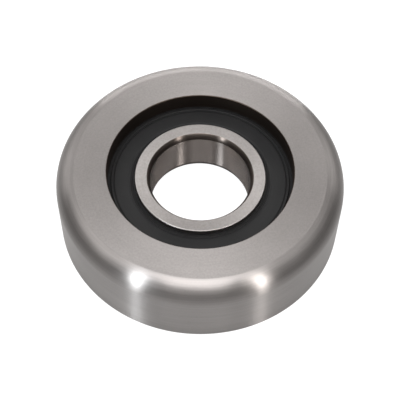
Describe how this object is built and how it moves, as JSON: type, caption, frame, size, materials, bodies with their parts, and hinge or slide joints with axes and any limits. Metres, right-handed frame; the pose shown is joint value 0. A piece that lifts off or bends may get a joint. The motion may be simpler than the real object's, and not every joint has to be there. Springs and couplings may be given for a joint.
{
  "type": "cam follower",
  "caption": "Yoke-type cam follower roller: thick outer ring with a large rounded tread corner on a sealed ball bearing with recessed sides and a plain bore.",
  "frame": {"origin": "centre of the bearing, on the axis of rotation and halfway between the roller's two flat side faces", "axes": "+Z along the axis of rotation, towards the side with the large rounded tread corner; +X and +Y in the plane of the row of balls, with a ball on +Y"},
  "size_m": [0.1142, 0.1142, 0.031],
  "materials": {
    "outer_ring_steel": "ground, fine concentric lay",
    "inner_ring_steel": "fine ground",
    "ball_steel": "polished",
    "cage_steel": "pressed sheet, satin",
    "insert_steel": "plain sheet",
    "seal_rubber": "moulded, matte"
  },
  "bodies": {
    "inner_ring": {"inner_ring": "inner_ring_steel"},
    "outer_ring": {"outer_ring": "outer_ring_steel", "seal_upper": "seal_rubber", "seal_lower": "seal_rubber", "seal_insert_upper": "insert_steel", "seal_insert_lower": "insert_steel"},
    "cage": {"cage_half_upper": "cage_steel", "cage_half_lower": "cage_steel", "cage_rivet_1": "cage_steel", "cage_rivet_2": "cage_steel", "cage_rivet_3": "cage_steel", "cage_rivet_4": "cage_steel", "cage_rivet_5": "cage_steel", "cage_rivet_6": "cage_steel", "cage_rivet_7": "cage_steel", "cage_rivet_8": "cage_steel", "cage_rivet_9": "cage_steel"},
    "ball_1": {"ball_1": "ball_steel"},
    "ball_2": {"ball_2": "ball_steel"},
    "ball_3": {"ball_3": "ball_steel"},
    "ball_4": {"ball_4": "ball_steel"},
    "ball_5": {"ball_5": "ball_steel"},
    "ball_6": {"ball_6": "ball_steel"},
    "ball_7": {"ball_7": "ball_steel"},
    "ball_8": {"ball_8": "ball_steel"},
    "ball_9": {"ball_9": "ball_steel"}
  },
  "joints": [
    {"name": "outer_ring_spin", "type": "hinge", "parent": "inner_ring", "child": "outer_ring", "pos_m": [0, 0, 0], "axis": [0, 0, 1], "continuous": true},
    {"name": "cage_spin", "type": "hinge", "parent": "inner_ring", "child": "cage", "pos_m": [0, 0, 0], "axis": [0, 0, 1], "continuous": true},
    {"name": "ball_1_spin", "type": "hinge", "parent": "cage", "child": "ball_1", "pos_m": [0, 0.03, 0], "axis": [0, 0, 1], "continuous": true},
    {"name": "ball_2_spin", "type": "hinge", "parent": "cage", "child": "ball_2", "pos_m": [-0.01929, 0.02298, 0], "axis": [0, 0, 1], "continuous": true},
    {"name": "ball_3_spin", "type": "hinge", "parent": "cage", "child": "ball_3", "pos_m": [-0.02955, 0.00521, 0], "axis": [0, 0, 1], "continuous": true},
    {"name": "ball_4_spin", "type": "hinge", "parent": "cage", "child": "ball_4", "pos_m": [-0.02598, -0.015, 0], "axis": [0, 0, 1], "continuous": true},
    {"name": "ball_5_spin", "type": "hinge", "parent": "cage", "child": "ball_5", "pos_m": [-0.01026, -0.02819, 0], "axis": [0, 0, 1], "continuous": true},
    {"name": "ball_6_spin", "type": "hinge", "parent": "cage", "child": "ball_6", "pos_m": [0.01026, -0.02819, 0], "axis": [0, 0, 1], "continuous": true},
    {"name": "ball_7_spin", "type": "hinge", "parent": "cage", "child": "ball_7", "pos_m": [0.02598, -0.015, 0], "axis": [0, 0, 1], "continuous": true},
    {"name": "ball_8_spin", "type": "hinge", "parent": "cage", "child": "ball_8", "pos_m": [0.02955, 0.00521, 0], "axis": [0, 0, 1], "continuous": true},
    {"name": "ball_9_spin", "type": "hinge", "parent": "cage", "child": "ball_9", "pos_m": [0.01929, 0.02298, 0], "axis": [0, 0, 1], "continuous": true}
  ],
  "couplings": [
    {"joint": "cage_spin", "follows": "outer_ring_spin", "ratio": 0.59921},
    {"joint": "ball_1_spin", "follows": "outer_ring_spin", "ratio": 2.4207},
    {"joint": "ball_2_spin", "follows": "outer_ring_spin", "ratio": 2.4207},
    {"joint": "ball_3_spin", "follows": "outer_ring_spin", "ratio": 2.4207},
    {"joint": "ball_4_spin", "follows": "outer_ring_spin", "ratio": 2.4207},
    {"joint": "ball_5_spin", "follows": "outer_ring_spin", "ratio": 2.4207},
    {"joint": "ball_6_spin", "follows": "outer_ring_spin", "ratio": 2.4207},
    {"joint": "ball_7_spin", "follows": "outer_ring_spin", "ratio": 2.4207},
    {"joint": "ball_8_spin", "follows": "outer_ring_spin", "ratio": 2.4207},
    {"joint": "ball_9_spin", "follows": "outer_ring_spin", "ratio": 2.4207}
  ]
}
